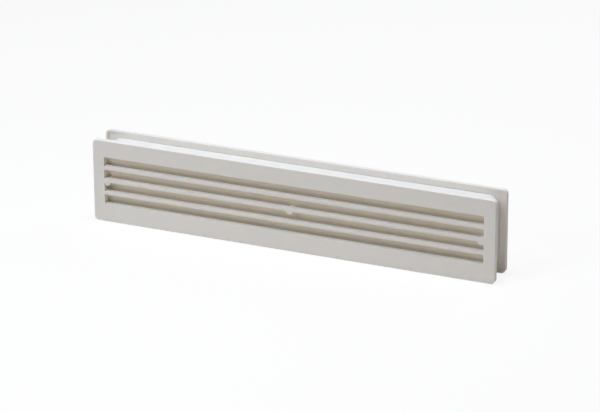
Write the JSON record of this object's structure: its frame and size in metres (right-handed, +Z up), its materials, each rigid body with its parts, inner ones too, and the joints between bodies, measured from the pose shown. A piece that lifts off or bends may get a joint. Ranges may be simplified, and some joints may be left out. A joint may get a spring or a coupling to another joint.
{
  "type": "door vent grille",
  "caption": "Two-part louvred vent grille for a door: slotted flanges on both faces, joined by collars that telescope to suit the door's thickness.",
  "frame": {"origin": "centre of the closed grille, midway between the two flange faces", "axes": "+X along the width, +Y from the front face to the rear face, +Z up"},
  "size_m": [0.457, 0.037, 0.092],
  "materials": {
    "white_plastic": "fine satin moulded plastic, warm white",
    "plated_steel": "zinc plated"
  },
  "bodies": {
    "front_half": {"front_grille": "white_plastic"},
    "rear_half": {"rear_grille": "white_plastic", "fixing_screws": "plated_steel"}
  },
  "joints": [
    {"name": "depth_slide", "type": "slide", "parent": "front_half", "child": "rear_half", "axis": [0, 1, 0], "range_m": [0, 0.016]}
  ]
}
